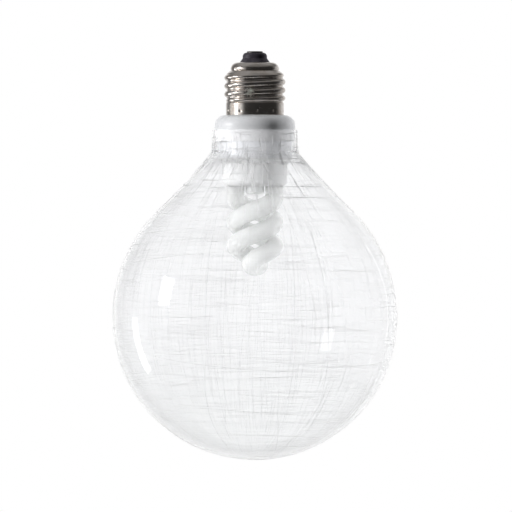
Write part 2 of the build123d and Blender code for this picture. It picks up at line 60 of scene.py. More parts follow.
# Ballast inside the base: a pressed paper board with the choke, drive ring, capacitors,
# transistors and small axial parts soldered to it. Nothing of it shows in a whole lamp,
# so each CAD piece keeps its form and gets the finish of the real part.
class Signal:
    """One socket of a node tree, so that sums on sockets read as plain arithmetic."""

    def __init__(self, tree, socket=None):
        self.tree = tree
        self.socket = socket

    def node(self, kind, settings=None, sockets=None, output=None):
        """Add a node, set its settings, then fill its sockets with values or links."""
        made = self.tree.nodes.new(kind)
        for name, value in (settings or {}).items():
            setattr(made, name, value)
        for name, value in (sockets or {}).items():
            socket = next(s for s in made.inputs if name in (s.identifier, s.name))
            if isinstance(value, Signal):
                self.tree.links.new(value.socket, socket)
            else:
                socket.default_value = value
        outputs = [s for s in made.outputs if output in (None, s.identifier, s.name)]
        return Signal(self.tree, outputs[0]) if outputs else None

    def math(self, operation, *values):
        """Add a Math node on numbers or signals."""
        names = ("Value", "Value_001", "Value_002")
        return self.node("ShaderNodeMath", {"operation": operation}, dict(zip(names, values)))

    def axis(self, letter):
        """One component of a vector signal."""
        return self.node("ShaderNodeSeparateXYZ", {}, {"Vector": self}, letter)

    def __add__(self, other):
        return self.math("ADD", self, other)

    def __radd__(self, other):
        return self.math("ADD", other, self)

    def __sub__(self, other):
        return self.math("SUBTRACT", self, other)

    def __rsub__(self, other):
        return self.math("SUBTRACT", other, self)

    def __mul__(self, other):
        return self.math("MULTIPLY", self, other)

    def __rmul__(self, other):
        return self.math("MULTIPLY", other, self)

    def __truediv__(self, other):
        return self.math("DIVIDE", self, other)

    def __rtruediv__(self, other):
        return self.math("DIVIDE", other, self)

    def __pow__(self, other):
        return self.math("POWER", self, other)

    def __rpow__(self, other):
        return self.math("POWER", other, self)


def new_finish(name):
    """An empty material, the signal that its nodes are added with, and its object coordinates."""
    material = bpy.data.materials.new(name)
    material.use_nodes = True
    material.node_tree.nodes.clear()
    look = Signal(material.node_tree)
    return material, look, look.node("ShaderNodeTexCoord", output="Object")


def noise(look, place, size, detail=3.0, roughness=0.5):
    """Cloudy value from 0 to 1 whose patches are about the given size in metres."""
    sockets = {"Vector": place, "Scale": 1 / size, "Detail": detail, "Roughness": roughness}
    return look.node("ShaderNodeTexNoise", {"noise_dimensions": "3D"}, sockets)


def stepped(look, value, low, high, first=0.0, second=1.0):
    """Smooth step of a value between two edges."""
    sockets = {"Value": value, "From Min": low, "From Max": high, "To Min": first, "To Max": second}
    return look.node("ShaderNodeMapRange", {"interpolation_type": "SMOOTHSTEP"}, sockets)


def spread(look, cloud, first=0.0, second=1.0):
    """A noise, whose values crowd round its middle, stretched from one value to another."""
    return stepped(look, cloud, 0.3, 0.7, first, second)


def blend_colours(look, factor, first, second):
    """Colour between two colours, each four numbers or a signal."""
    sockets = {"Factor_Float": factor, "A_Color": first, "B_Color": second}
    return look.node("ShaderNodeMix", {"data_type": "RGBA"}, sockets, "Result_Color")


def bumped(look, height, distance):
    """Normal of a relief, where a height of 1 stands the given distance in metres."""
    sockets = {"Height": height, "Distance": distance, "Strength": 1.0}
    return look.node("ShaderNodeBump", {}, sockets)


def end_finish(look, sockets):
    """Close a material with a shader that has these sockets."""
    shader = look.node("ShaderNodeBsdfPrincipled", {}, sockets)
    look.node("ShaderNodeOutputMaterial", {}, {"Surface": shader})


def grained_finish(name, dark, pale, grain, rough, metallic=0.0, relief=0.02 * mm, coat=0.0):
    """Two close colours in cloudy patches, with roughness and a fine relief of the same grain."""
    material, look, place = new_finish(name)
    patch_size = 6 * grain
    patches = noise(look, place, patch_size)
    specks = noise(look, place, grain, detail=6.0, roughness=0.6)
    mottle = spread(look, patches * 0.6 + specks * 0.4)
    sockets = {
        "Base Color": blend_colours(look, mottle, dark, pale),
        "Metallic": metallic,
        "Roughness": stepped(look, specks, 0.2, 0.8, *rough),
        "Coat Weight": coat,
        "Normal": bumped(look, specks, relief),
    }
    end_finish(look, sockets)
    return material


def dress(material, *names):
    """Give CAD pieces a finish."""
    for name in names:
        nodes[name].material_slots[0].material = material


paper_board = grained_finish(
    "paper_board", (0.50, 0.37, 0.20, 1), (0.60, 0.46, 0.27, 1), 0.4 * mm, (0.45, 0.6)
)
dress(paper_board, "ballast_board")
ferrite = grained_finish(
    "ferrite",
    (0.03, 0.03, 0.033, 1),
    (0.06, 0.058, 0.06, 1),
    0.15 * mm,
    (0.5, 0.75),
    relief=0.03 * mm,
)
dress(ferrite, "choke_core", "drive_ring_core")
black_bobbin = grained_finish(
    "black_bobbin", (0.06, 0.06, 0.06, 1), (0.10, 0.10, 0.10, 1), 0.5 * mm, (0.35, 0.5)
)
dress(black_bobbin, "choke_bobbin")
enamelled_copper = grained_finish(
    "enamelled_copper",
    (0.64, 0.29, 0.14, 1),
    (0.76, 0.38, 0.20, 1),
    0.2 * mm,
    (0.2, 0.35),
    metallic=1.0,
    coat=0.6,
)
dress(enamelled_copper, "choke_winding", "drive_ring_windings")
can_sleeve = grained_finish(
    "can_sleeve", (0.012, 0.016, 0.03, 1), (0.02, 0.026, 0.045, 1), 0.8 * mm, (0.2, 0.35)
)
dress(can_sleeve, "smoothing_capacitor")
film_dip = grained_finish(
    "film_dip", (0.48, 0.065, 0.04, 1), (0.60, 0.095, 0.06, 1), 0.6 * mm, (0.18, 0.32), coat=0.4
)
dress(film_dip, "resonant_capacitor", "blocking_capacitor")
black_package = grained_finish(
    "black_package", (0.012, 0.012, 0.013, 1), (0.022, 0.022, 0.023, 1), 0.12 * mm, (0.4, 0.6)
)
dress(black_package, "transistors", "rectifier_diodes")
resistor_lacquer = grained_finish(
    "resistor_lacquer", (0.66, 0.56, 0.40, 1), (0.78, 0.68, 0.50, 1), 0.3 * mm, (0.3, 0.45)
)
dress(resistor_lacquer, "resistors", "fuse_resistor")
glass_bead = grained_finish(
    "glass_bead", (0.17, 0.26, 0.44, 1), (0.23, 0.34, 0.56, 1), 0.3 * mm, (0.08, 0.15), coat=0.8
)
dress(glass_bead, "trigger_diode")
tinned_lead = grained_finish(
    "tinned_lead", (0.62, 0.62, 0.6, 1), (0.74, 0.74, 0.72, 1), 0.2 * mm, (0.25, 0.4), metallic=1.0
)
dress(tinned_lead, "wrap_pins", "electrode_leads")
lead_sleeve = grained_finish(
    "lead_sleeve", (0.62, 0.62, 0.6, 1), (0.7, 0.7, 0.68, 1), 0.4 * mm, (0.4, 0.55)
)
dress(lead_sleeve, "live_lead", "neutral_lead")


# Base housing: a glossy white moulding whose collar with its round shoulder shows between cap
# and glass. The faint unevenness of a moulded face breaks its gloss.
housing_shade = (0.86, 0.87, 0.89, 1)
housing_white = (0.90, 0.91, 0.93, 1)
dust_grey = (0.80, 0.80, 0.80, 1)
flow_size = 14 * mm
peel_size = 0.9 * mm
peel_relief = 0.004 * mm
dust_size = 2.5 * mm
dust_most = 0.25
white_plastic, look, place = new_finish("white_plastic")
flow = noise(look, place, flow_size)
orange_peel = noise(look, place, peel_size, detail=2.0)
dust = noise(look, place, dust_size, detail=8.0, roughness=0.7)
dust_film = stepped(look, dust, 0.62, 0.75, second=dust_most)
housing_colour = blend_colours(look, spread(look, flow), housing_shade, housing_white)
sockets = {
    "Base Color": blend_colours(look, dust_film, housing_colour, dust_grey),
    "Roughness": spread(look, dust, 0.22, 0.34),
    "IOR": 1.5,
    "Normal": bumped(look, orange_peel, peel_relief),
}
end_finish(look, sockets)
dress(white_plastic, "base_housing")


# Tube holder: the cup that plugs into the housing and carries the tube, moulded in a milky
# heat-proof plastic that lets some light through, with a dull face.
holder_shade = (0.88, 0.89, 0.89, 1)
holder_white = (0.92, 0.93, 0.93, 1)
cloud_size = 6 * mm
even_radius = (1.0, 1.0, 1.0)
milk_depth = 2.5 * mm
milky_plastic, look, place = new_finish("milky_plastic")
clouds = noise(look, place, cloud_size, detail=4.0)
sockets = {
    "Base Color": blend_colours(look, spread(look, clouds), holder_shade, holder_white),
    "Roughness": spread(look, clouds, 0.3, 0.42),
    "Subsurface Weight": 1.0,
    "Subsurface Radius": even_radius,
    "Subsurface Scale": milk_depth,
}
end_finish(look, sockets)
dress(milky_plastic, "tube_holder")


# Cement that holds the tube's legs in the holder and the glass neck on the housing:
# a dull off-white powder paste, poured in and baked hard.
cement_paste = grained_finish(
    "cement_paste",
    (0.85, 0.855, 0.86, 1),
    (0.90, 0.90, 0.91, 1),
    0.35 * mm,
    (0.7, 0.9),
    relief=0.06 * mm,
)
dress(cement_paste, "tube_cement", "neck_cement")


# Spiral tube: a thin glass tube, white inside with a powder coat and bent hot into two strands.
# The clear wall over the powder gives sharp highlights on a dull white ground.
tube_shade = (0.80, 0.82, 0.80, 1)
tube_white = (0.86, 0.88, 0.86, 1)
powder_size = 1.2 * mm
streak_size = 9 * mm
tube_depth = 30 * mm
coated_tube, look, place = new_finish("coated_tube")
powder = noise(look, place, powder_size, detail=6.0, roughness=0.65)
streaks = noise(look, place, streak_size, detail=2.0)
powder_coat = spread(look, powder * 0.4 + streaks * 0.6)
sockets = {
    "Base Color": blend_colours(look, powder_coat, tube_shade, tube_white),
    "Roughness": spread(look, powder, 0.5, 0.65),
    "Subsurface Weight": 1.0,
    "Subsurface Radius": even_radius,
    "Subsurface Scale": tube_depth,
    "Coat Weight": 1.0,
    "Coat Roughness": 0.03,
    "Coat IOR": 1.5,
}
end_finish(look, sockets)
dress(coated_tube, "spiral_tube")


# Screw shell: thin nickel-plated sheet, rolled to a bead at the top and to a rounded right-hand
# thread, and punched to the housing with ten dents round its skirt. The rolled thread is
# alternate crest and root arcs, run out at both ends.
shell_wall = 0.4 * mm
lip_radius = 7.3 * mm
bead_round = 2.6 * mm
bead_radius = 10.25 * mm
groove_radius = 10.0 * mm
groove_height = 0.6 * mm
flare_height = 1.5 * mm
thread_pitch = 3.629 * mm
thread_arc_radius = 1.025 * mm
thread_run_out = 1.9 * mm
thread_over_root = 0.4 * mm
skirt_radius = 12.3 * mm
skirt_length = 5.5 * mm
skirt_step = 0.3 * mm
dent_count = 10
dent_first_angle = radians(-85.0)
dent_height = 1.8 * mm
dent_radius = 0.75 * mm
dent_depth = 0.3 * mm
seam_gap = 0.001 * mm
shell_rows = 170
shell_segments = 240

shell_low, shell_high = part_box("screw_shell")
crest_radius = shell_high.x
thread_depth = 2 * (thread_arc_radius - sqrt(thread_arc_radius**2 - (thread_pitch / 4) ** 2))
root_radius = crest_radius - thread_depth
bead_end_z = shell_high.z - bead_round
root_top_z = bead_end_z - groove_height - flare_height
skirt_top_z = shell_low.z + skirt_length


def arc_points(centre, radius, first, last, steps):
    """Points (radius, height) on an arc, both ends included, with angles in degrees."""
    turns = [radians(first + (last - first) * index / steps) for index in range(steps + 1)]
    return [(centre[0] + radius * cos(turn), centre[1] + radius * sin(turn)) for turn in turns]


def section_line(name, points):
    """A bare line mesh through (radius, height) points, drawn in the plane y = 0."""
    mesh = bpy.data.meshes.new(name)
    edges = [(index, index + 1) for index in range(len(points) - 1)]
    mesh.from_pydata([(r, 0, z) for r, z in points], edges, [])
    return mesh


def new_object(name, data):
    """A new object in the scene, at the origin."""
    made = bpy.data.objects.new(name, data)
    bpy.context.scene.collection.objects.link(made)
    return made


def rule_tree(name, sizes):
    """A Geometry Nodes tree with a geometry input and named sizes, and its input signals."""
    kinds = {
        int: "NodeSocketInt",
        float: "NodeSocketFloat",
        bpy.types.Material: "NodeSocketMaterial",
    }
    tree = bpy.data.node_groups.new(name, "GeometryNodeTree")
    tree.interface.new_socket("Geometry", in_out="OUTPUT", socket_type="NodeSocketGeometry")
    tree.interface.new_socket("Geometry", in_out="INPUT", socket_type="NodeSocketGeometry")
    for label, kind in sizes.items():
        tree.interface.new_socket(label, in_out="INPUT", socket_type=kinds[kind])
    entry = tree.nodes.new("NodeGroupInput")
    given = {socket.name: Signal(tree, socket) for socket in entry.outputs if socket.name}
    return tree, given


def end_tree(rule, geometry, material):
    """Close a tree with a plain mesh that has a material."""
    geometry = rule.node("GeometryNodeRealizeInstances", {}, {"Geometry": geometry})
    sockets = {"Geometry": geometry, "Material": material}
    geometry = rule.node("GeometryNodeSetMaterial", {}, sockets)
    rule.node("NodeGroupOutput", {}, {"Geometry": geometry})


def grow(name, line, tree, values):
    """Run a tree on a section line and keep the result as a plain mesh object."""
    host = new_object(name + "_line", line)
    modifier = host.modifiers.new(name, "NODES")
    modifier.node_group = tree
    for item in tree.interface.items_tree:
        if item.in_out == "INPUT" and item.name in values:
            modifier[item.identifier] = values[item.name]
    bpy.context.view_layer.update()
    evaluated = host.evaluated_get(bpy.context.evaluated_depsgraph_get())
    mesh = bpy.data.meshes.new_from_object(evaluated)
    mesh.name = name
    host.modifiers.remove(modifier)
    bpy.data.objects.remove(host)
    return new_object(name, mesh)


nickel_pale = (0.71, 0.665, 0.63, 1)
nickel_tarnished = (0.62, 0.56, 0.505, 1)
smear_green = (0.50, 0.58, 0.50, 1)
smear_spot = (-2.1 * mm, -12.8 * mm, -18.0 * mm)
smear_size = 2.2 * mm
smear_grain = 0.9 * mm
smear_fade = 0.3
smear_most = 0.7
smear_dullness = 0.4
tarnish_size = 5 * mm
handling_size = 2.0 * mm
drawing_stretch = (1.0, 1.0, 9.0)
drawing_size = 2.2 * mm
drawing_relief = 0.003 * mm
bright_nickel, look, place = new_finish("bright_nickel")
stretched = look.node("ShaderNodeMapping", {}, {"Vector": place, "Scale": drawing_stretch})
draw_lines = noise(look, stretched, drawing_size, detail=4.0)
tarnish = noise(look, place, tarnish_size, detail=5.0, roughness=0.6)
handling = noise(look, place, handling_size, detail=6.0, roughness=0.65)
dried = noise(look, place, smear_grain, detail=5.0, roughness=0.7)
from_smear = look.node(
    "ShaderNodeVectorMath",
    {"operation": "SUBTRACT"},
    {"Vector": place, "Vector_001": smear_spot},
)
smear_reach = look.node(
    "ShaderNodeVectorMath", {"operation": "LENGTH"}, {"Vector": from_smear}, "Value"
)
smear_left = dried - smear_reach / smear_size * smear_fade
residue = stepped(look, smear_left, 0.22, 0.45, second=smear_most)
nickel_colour = blend_colours(
    look, stepped(look, tarnish, 0.35, 0.7), nickel_pale, nickel_tarnished
)
nickel_roughness = spread(look, handling * 0.6 + draw_lines * 0.4, 0.20, 0.28)
sockets = {
    "Base Color": blend_colours(look, residue, nickel_colour, smear_green),
    "Metallic": 1 - residue,
    "Roughness": nickel_roughness + residue * smear_dullness,
    "Normal": bumped(look, draw_lines, drawing_relief),
}
end_finish(look, sockets)

shell_sizes = {
    "Rows": int,
    "Segments": int,
    "Pitch": float,
    "Arc radius": float,
    "Depth": float,
    "Start": float,
    "Thread top": float,
    "Thread end": float,
    "Run out": float,
    "Dents": int,
    "First dent": float,
    "Dent height": float,
    "Dent radius": float,
    "Dent depth": float,
    "Material": bpy.types.Material,
}
shell_tree, given = rule_tree("rolled_shell", shell_sizes)
rule = Signal(shell_tree)
section = rule.node("GeometryNodeMeshToCurve", {}, {"Mesh": given["Geometry"]})
sheet = rule.node(
    "GeometryNodeMeshGrid",
    {},
    {"Size X": 1.0, "Size Y": 1.0, "Vertices X": given["Segments"], "Vertices Y": given["Rows"]},
)
on_sheet = rule.node("GeometryNodeInputPosition")
turn = (on_sheet.axis("X") + 0.5) * (2 * pi)
on_section = rule.node(
    "GeometryNodeSampleCurve",
    {"mode": "FACTOR", "use_all_curves": True},
    {"Curves": section, "Factor": on_sheet.axis("Y") + 0.5},
    "Position",
)
plain_radius = on_section.axis("X")
height = on_section.axis("Z")
climb = (height - given["Start"]) / given["Pitch"] - turn / (2 * pi)
from_crest = rule.math("ABSOLUTE", climb - rule.math("ROUND", climb)) * given["Pitch"]
from_root = given["Pitch"] / 2 - from_crest
crest_arc = rule.math("SQRT", rule.math("MAXIMUM", given["Arc radius"] ** 2 - from_crest**2, 0.0))
root_arc = rule.math("SQRT", rule.math("MAXIMUM", given["Arc radius"] ** 2 - from_root**2, 0.0))
on_crest = rule.math("LESS_THAN", from_crest, given["Pitch"] / 4)
crest_rise = given["Depth"] + crest_arc - given["Arc radius"]
root_rise = given["Arc radius"] - root_arc
rise = on_crest * crest_rise + (1 - on_crest) * root_rise
run_in = stepped(rule, given["Thread top"] - height, 0.0, given["Run out"])
run_off = stepped(rule, height - given["Thread end"], 0.0, given["Run out"])
dent_turn = (turn - given["First dent"]) * given["Dents"] / (2 * pi)
dent_off = (dent_turn - rule.math("ROUND", dent_turn)) * (2 * pi) * plain_radius / given["Dents"]
dent_reach = (dent_off**2 + (height - given["Dent height"]) ** 2) / given["Dent radius"] ** 2
dent = given["Dent depth"] * rule.math("MAXIMUM", 1 - dent_reach, 0.0)
shell_radius = plain_radius + rise * run_in * run_off - dent
around_x = shell_radius * rule.math("COSINE", turn)
around_y = shell_radius * rule.math("SINE", turn)
rolled = rule.node("ShaderNodeCombineXYZ", {}, {"X": around_x, "Y": around_y, "Z": height})
shell = rule.node("GeometryNodeSetPosition", {}, {"Geometry": sheet, "Position": rolled})
shell = rule.node("GeometryNodeMergeByDistance", {}, {"Geometry": shell, "Distance": seam_gap})
end_tree(rule, shell, given["Material"])

shell_outline = [(lip_radius, shell_high.z)]
shell_outline += arc_points((bead_radius - bead_round, bead_end_z), bead_round, 90, 0, steps=16)
shell_outline += [
    (groove_radius, bead_end_z - groove_height),
    (root_radius, root_top_z),
    (root_radius, skirt_top_z),
    (skirt_radius, skirt_top_z - skirt_step),
    (skirt_radius, shell_low.z),
]
rolled_shell = grow(
    "rolled_shell",
    section_line("shell_section", shell_outline),
    shell_tree,
    {
        "Rows": shell_rows,
        "Segments": shell_segments + 1,
        "Pitch": thread_pitch,
        "Arc radius": thread_arc_radius,
        "Depth": thread_depth,
        "Start": skirt_top_z - thread_pitch / 2,
        "Thread top": root_top_z + thread_over_root,
        "Thread end": skirt_top_z,
        "Run out": thread_run_out,
        "Dents": dent_count,
        "First dent": dent_first_angle,
        "Dent height": shell_low.z + dent_height,
        "Dent radius": dent_radius,
        "Dent depth": dent_depth,
        "Material": bright_nickel,
    },
)
sheet_metal = rolled_shell.modifiers.new("sheet_metal", "SOLIDIFY")
sheet_metal.thickness = shell_wall
sheet_metal.offset = -1.0
for face in rolled_shell.data.polygons:
    face.use_smooth = True
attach(rolled_shell, "root")
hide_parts("screw_shell")


# Centre contact: the plated button in the top of the cap. Its dark colour is a painted reflection,
# standing in for the dark surroundings that the button reflects. Its pin is pressed into the
# insulator below it.
dark_painted_contact = grained_finish(
    "dark_painted_contact",
    (0.10, 0.095, 0.09, 1),
    (0.19, 0.18, 0.17, 1),
    0.4 * mm,
    (0.35, 0.55),
    metallic=1.0,
)
dress(dark_painted_contact, "centre_contact")


# Cap insulator: a black moulded plug, pressed under the shell's bead, with the contact in its top.
# Near-black thermoset with a dull, slightly dusty skin.
moulding_black = (0.035, 0.031, 0.040, 1)
moulding_bloom = (0.065, 0.058, 0.070, 1)
skin_size = 0.5 * mm
skin_relief = 0.01 * mm
bloom_size = 4 * mm
black_moulding, look, place = new_finish("black_moulding")
skin = noise(look, place, skin_size, detail=5.0, roughness=0.6)
bloom = stepped(look, noise(look, place, bloom_size, detail=4.0), 0.35, 0.7)
sockets = {
    "Base Color": blend_colours(look, bloom, moulding_black, moulding_bloom),
    "Roughness": spread(look, skin, 0.42, 0.58),
    "IOR": 1.4,
    "Normal": bumped(look, skin, skin_relief),
}
end_finish(look, sockets)
dress(black_moulding, "cap_insulator")


# Glass globe: one blown wall of clear glass, a little greyer towards the bottom. Slight waves from
# blowing bend the reflections. Its index is below that of solid glass, which keeps the rim of the
# thin wall pale, and it casts no shadow, so that the lamps reach what it holds.
glass_clear = (0.992, 0.994, 1.0, 1)
glass_bottom = (0.964, 0.969, 0.972, 1)
grey_full_z = -175 * mm
grey_end_z = -105 * mm
wave_size = 26 * mm
wave_relief = 0.12 * mm
clear_glass, look, place = new_finish("clear_glass")
waves = noise(look, place, wave_size, detail=2.0)
greying = stepped(look, place.axis("Z"), grey_full_z, grey_end_z, 1.0, 0.0)
sockets = {
    "Base Color": blend_colours(look, greying, glass_clear, glass_bottom),
    "Roughness": 0.0,
    "IOR": 1.33,
    "Transmission Weight": 1.0,
    "Normal": bumped(look, waves, wave_relief),
}
end_finish(look, sockets)
dress(clear_glass, "glass_globe")
nodes["glass_globe"].visible_shadow = False


# Lines on the globe: fine white strokes laid on the outside of the glass along its meridians and
# its parallels, as in loose linen, with a few longer and bolder ones among them.
# Each is a flat thread of white enamel that follows the glass.
globe_low, globe_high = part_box("glass_globe")
globe_radius = globe_high.x
equator_z = globe_low.z + globe_radius
shoulder_arc = 66.0 * mm
shoulder_slope = 47.0
hollow_arc = 238.0 * mm
neck_radius = 18.85 * mm
shoulder_centre = (globe_radius - shoulder_arc, equator_z)
hollow_reach = shoulder_arc + hollow_arc
hollow_centre = (
    shoulder_centre[0] + hollow_reach * cos(radians(shoulder_slope)),
    shoulder_centre[1] + hollow_reach * sin(radians(shoulder_slope)),
)
corner_slope = degrees(acos((hollow_centre[0] - neck_radius) / hollow_arc))
hollow_turns = (180 + shoulder_slope, 180 + corner_slope)
globe_outline = arc_points((0, equator_z), globe_radius, -90, 0, steps=48)
globe_outline += arc_points(shoulder_centre, shoulder_arc, 0, shoulder_slope, steps=24)[1:]
globe_outline += arc_points(hollow_centre, hollow_arc, *hollow_turns, steps=12)[1:]
globe_outline += [(neck_radius, globe_high.z)]

enamel_shade = (0.84, 0.85, 0.87, 1)
enamel_white = (0.92, 0.93, 0.95, 1)
brushing_size = 3 * mm
enamel_depth = 0.4 * mm
white_enamel, look, place = new_finish("white_enamel")
brushing = noise(look, place, brushing_size, detail=5.0, roughness=0.6)
sockets = {
    "Base Color": blend_colours(look, spread(look, brushing), enamel_shade, enamel_white),
    "Roughness": spread(look, brushing, 0.45, 0.7),
    "Subsurface Weight": 1.0,
    "Subsurface Radius": even_radius,
    "Subsurface Scale": enamel_depth,
}
end_finish(look, sockets)

line_flatness = 0.5
least_taper = 0.02
pole_margin = 0.5 * mm
pole_radius = 6 * mm
rim_share = 0.998
draws_apart = 16
line_sizes = {
    "Count": int,
    "Steps": int,
    "Direction": float,
    "Spread": float,
    "Shortest": float,
    "Longest": float,
    "Thinnest": float,
    "Widest": float,
    "Bow": float,
    "Flatness": float,
    "From": float,
    "To": float,
    "Seed": int,
    "Material": bpy.types.Material,
}
line_tree, given = rule_tree("lines_on_glass", line_sizes)
rule = Signal(line_tree)
section = rule.node("GeometryNodeMeshToCurve", {}, {"Mesh": given["Geometry"]})
section_length = rule.node("GeometryNodeCurveLength", {}, {"Curve": section})
strand = rule.node("GeometryNodeCurvePrimitiveLine", {}, {"End": (1.0, 0.0, 0.0)})
strand = rule.node("GeometryNodeResampleCurve", {}, {"Curve": strand, "Count": given["Steps"]})
seats = rule.node("GeometryNodePoints", {}, {"Count": given["Count"]})
strands = rule.node("GeometryNodeInstanceOnPoints", {}, {"Points": seats, "Instance": strand})
strands = rule.node("GeometryNodeRealizeInstances", {}, {"Geometry": strands})
strand_index = rule.node("GeometryNodeCurveOfPoint", output="Curve Index")
along = rule.node("GeometryNodeSplineParameter", output="Factor")


def drawn(draw, low, high):
    """A random value for each strand, between two limits."""
    seed = given["Seed"] * draws_apart + draw
    sockets = {"Min_001": low, "Max_001": high, "ID": strand_index, "Seed": seed}
    return rule.node("FunctionNodeRandomValue", {"data_type": "FLOAT"}, sockets, "Value_001")


def on_outline(length, output):
    """Position or Tangent of the glass outline at a length along it."""
    settings = {"mode": "LENGTH", "use_all_curves": True}
    sockets = {"Curves": section, "Length": length}
    return rule.node("GeometryNodeSampleCurve", settings, sockets, output)


line_turn = drawn(1, 0.0, 2 * pi)
seat_share = rule.math("ARCCOSINE", 1 - 2 * drawn(2, given["From"], given["To"])) / pi
line_seat = seat_share * section_length
line_slope = given["Direction"] + drawn(3, -1.0, 1.0) * given["Spread"]
line_length = drawn(4, given["Shortest"], given["Longest"])
bow = given["Bow"] * drawn(5, -1.0, 1.0) * line_length * (0.25 - (along - 0.5) ** 2)
travel = (along - 0.5) * line_length
sideways = travel * rule.math("COSINE", line_slope) - bow * rule.math("SINE", line_slope)
upwards = travel * rule.math("SINE", line_slope) + bow * rule.math("COSINE", line_slope)
line_place = rule.math("MAXIMUM", line_seat + upwards, pole_margin)
line_place = rule.math("MINIMUM", line_place, section_length * rim_share)
at_seat = on_outline(line_place, "Position")
run_of_glass = on_outline(line_place, "Tangent")
seat_radius = at_seat.axis("X")
line_angle = line_turn + sideways / rule.math("MAXIMUM", seat_radius, pole_radius)
line_cos = rule.math("COSINE", line_angle)
line_sin = rule.math("SINE", line_angle)
face_out = run_of_glass.axis("Z")
face_up = 0.0 - run_of_glass.axis("X")
on_glass = rule.node(
    "ShaderNodeCombineXYZ",
    {},
    {"X": seat_radius * line_cos, "Y": seat_radius * line_sin, "Z": at_seat.axis("Z")},
)
off_glass = rule.node(
    "ShaderNodeCombineXYZ",
    {},
    {"X": face_out * line_cos, "Y": face_out * line_sin, "Z": face_up},
)
lines = rule.node("GeometryNodeSetPosition", {}, {"Geometry": strands, "Position": on_glass})
lines = rule.node(
    "GeometryNodeSetCurveNormal", {"mode": "FREE"}, {"Curve": lines, "Normal": off_glass}
)
taper = rule.math("SQRT", rule.math("MAXIMUM", 1 - (2 * along - 1) ** 4, least_taper))
line_width = drawn(6, given["Thinnest"], given["Widest"]) * taper
profile = rule.node(
    "GeometryNodeCurvePrimitiveCircle", {"mode": "RADIUS"}, {"Resolution": 4, "Radius": 1.0}
)
flat_scale = rule.node("ShaderNodeCombineXYZ", {}, {"X": given["Flatness"], "Y": 1.0, "Z": 1.0})
profile = rule.node("GeometryNodeTransform", {}, {"Geometry": profile, "Scale": flat_scale})
lines = rule.node(
    "GeometryNodeCurveToMesh",
    {},
    {"Curve": lines, "Profile Curve": profile, "Scale": line_width / 2, "Fill Caps": True},
)
end_tree(rule, lines, given["Material"])

# Each kind: how many, points in each, direction, spread in degrees, bow, lengths in mm, widths in
# mm, and the stretch of the globe that it lies on, from 0 at the bottom to 1 at the rim.
across_glass = 0.0
up_glass = pi / 2
line_kinds = {
    "parallel_lines": (2500, 8, across_glass, 5.0, 0.15, (10.0, 44.0), (0.036, 0.088), (0.0, 0.95)),
    "meridian_lines": (2000, 8, up_glass, 5.0, 0.15, (12.0, 48.0), (0.036, 0.088), (0.0, 0.93)),
    "bold_parallels": (40, 20, across_glass, 6.0, 0.15, (20.0, 110.0), (0.09, 0.19), (0.0, 0.95)),
    "bold_meridians": (45, 24, up_glass, 6.0, 0.2, (30.0, 120.0), (0.10, 0.24), (0.0, 0.93)),
    "shoulder_meridians": (70, 14, up_glass, 9.0, 0.08, (12.0, 34.0), (0.14, 0.30), (0.91, 0.98)),
    "shoulder_parallels": (60, 14, across_glass, 5.0, 0.08, (6.0, 22.0), (0.14, 0.30), (0.91, 0.98)),
    "neck_meridians": (260, 12, up_glass, 9.0, 0.05, (6.0, 18.0), (0.12, 0.26), (0.975, 1.0)),
    "neck_parallels": (130, 12, across_glass, 5.0, 0.05, (5.0, 18.0), (0.12, 0.28), (0.98, 1.0)),
}
for seed, (name, kind) in enumerate(line_kinds.items(), 1):
    count, steps, heading, slant, bow_share, lengths, widths, stretch = kind
    piece = grow(
        name,
        section_line(name, globe_outline),
        line_tree,
        {
            "Count": count,
            "Steps": steps,
            "Direction": heading,
            "Spread": radians(slant),
            "Shortest": lengths[0] * mm,
            "Longest": lengths[1] * mm,
            "Thinnest": widths[0] * mm,
            "Widest": widths[1] * mm,
            "From": stretch[0],
            "To": stretch[1],
            "Bow": bow_share,
            "Flatness": line_flatness,
            "Seed": seed,
            "Material": white_enamel,
        },
    )
    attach(piece, "root")


# Floor: a round sheet of pale paper well below the hanging lamp. What looks straight at it, or
# through the glass, sees it fade to white towards its edge.
floor_radius = 0.7
floor_drop = 950 * mm
floor_z = cad_box[0].z - floor_drop
floor_segments = 96
floor_shade = (0.88, 0.88, 0.88, 1)
floor_white = (0.92, 0.92, 0.92, 1)
pure_white = (1, 1, 1, 1)
paper_size = 3 * mm
fade_from = 0.1
fade_to = floor_radius * 0.9
middle_white = 0.5
first_bounce = 0.5
floor_mesh = bpy.data.meshes.new("floor")
rim_angles = [2 * pi * index / floor_segments for index in range(floor_segments)]
rim = [(floor_radius * cos(angle), floor_radius * sin(angle), floor_z) for angle in rim_angles]
floor_mesh.from_pydata(rim, [], [list(range(floor_segments))])
floor = new_object("floor", floor_mesh)


def ray(look, output):
    """What Light Path says of the ray that reaches a surface, the world or a lamp."""
    return look.node("ShaderNodeLightPath", output=output)


pale_floor, look, place = new_finish("pale_floor")
paper = noise(look, place, paper_size, detail=4.0)
centred = look.node("ShaderNodeMapping", {}, {"Vector": place, "Location": (0.0, 0.0, -floor_z)})
from_middle = look.node(
    "ShaderNodeVectorMath", {"operation": "LENGTH"}, {"Vector": centred}, "Value"
)
paper_colour = blend_colours(look, paper, floor_shade, floor_white)
lit = look.node("ShaderNodeBsdfDiffuse", {}, {"Color": paper_colour})
white = look.node("ShaderNodeEmission", {}, {"Color": pure_white, "Strength": 1.0})
looked_at = look.math("MAXIMUM", ray(look, "Is Camera Ray"), ray(look, "Is Transmission Ray"))
seen = looked_at * look.math("LESS_THAN", ray(look, "Diffuse Depth"), first_bounce)
fade = seen * stepped(look, from_middle, fade_from, fade_to, first=middle_white)
surface = look.node("ShaderNodeMixShader", {}, {"Fac": fade, "Shader": lit, "Shader_001": white})
look.node("ShaderNodeOutputMaterial", {}, {"Surface": surface})
floor_mesh.materials.append(pale_floor)


